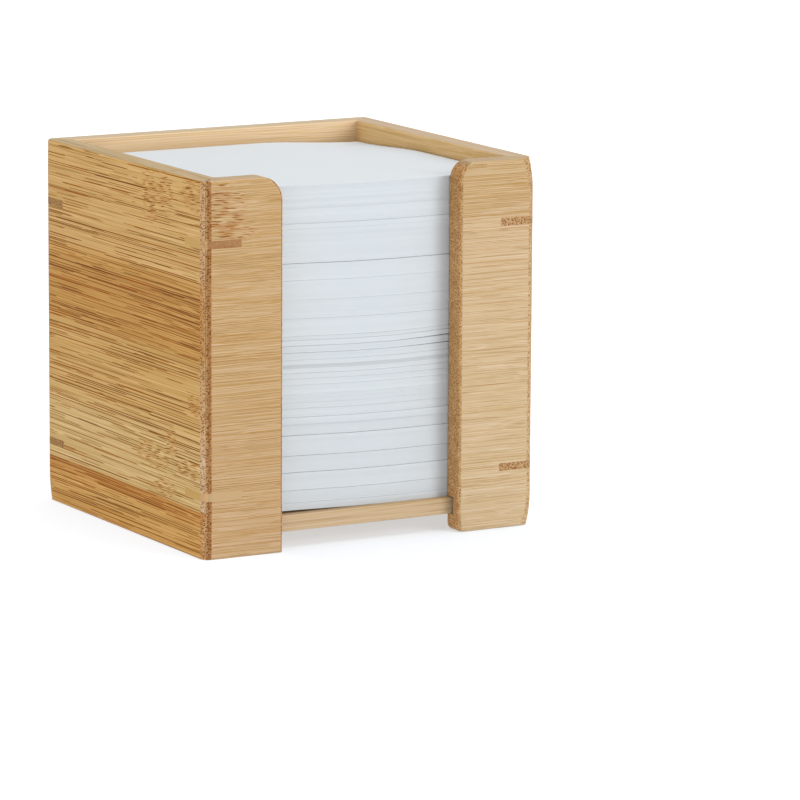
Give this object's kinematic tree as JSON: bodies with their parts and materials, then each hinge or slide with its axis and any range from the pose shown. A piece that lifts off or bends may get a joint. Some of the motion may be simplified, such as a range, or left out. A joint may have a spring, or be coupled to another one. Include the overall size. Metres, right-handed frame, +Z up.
{
  "type": "note box",
  "caption": "Open bamboo box with mitred, keyed corners and a finger gap at the front, holding a full stack of loose square notes.",
  "frame": {"origin": "on the table, under the middle of the box", "axes": "+Z up, front with the finger gap facing -Y, +X to the right seen from the front"},
  "size_m": [0.114, 0.107, 0.114],
  "materials": {
    "bamboo_side": "flat-pressed bamboo, clear matt lacquer",
    "bamboo_front": "fine-grained bamboo, clear matt lacquer",
    "bamboo_base": "sanded bamboo, clear matt lacquer",
    "bamboo_key": "end grain, sanded flush",
    "note_paper": "uncoated white paper"
  },
  "bodies": {
    "box": {"left_side": "bamboo_side", "right_side": "bamboo_side", "back_panel": "bamboo_side", "front_stile_left": "bamboo_front", "front_stile_right": "bamboo_front", "base_board": "bamboo_base", "key_front_left_lower": "bamboo_key", "key_front_left_upper": "bamboo_key", "key_front_right_lower": "bamboo_key", "key_front_right_upper": "bamboo_key", "key_back_right_lower": "bamboo_key", "key_back_right_upper": "bamboo_key", "key_back_left_lower": "bamboo_key", "key_back_left_upper": "bamboo_key"},
    "note_stack": {"note_block_1": "note_paper", "note_block_2": "note_paper", "note_block_3": "note_paper", "note_block_4": "note_paper", "note_block_5": "note_paper", "note_block_6": "note_paper", "note_block_7": "note_paper", "note_block_8": "note_paper", "note_block_9": "note_paper"},
    "top_note": {"top_note": "note_paper"}
  },
  "joints": [
    {"name": "note_stack_lift", "type": "slide", "parent": "box", "child": "note_stack", "axis": [0, 0, 1], "range_m": [0, 0.106]},
    {"name": "top_note_lift", "type": "slide", "parent": "note_stack", "child": "top_note", "axis": [0, 0, 1], "range_m": [0, 0.02]}
  ]
}
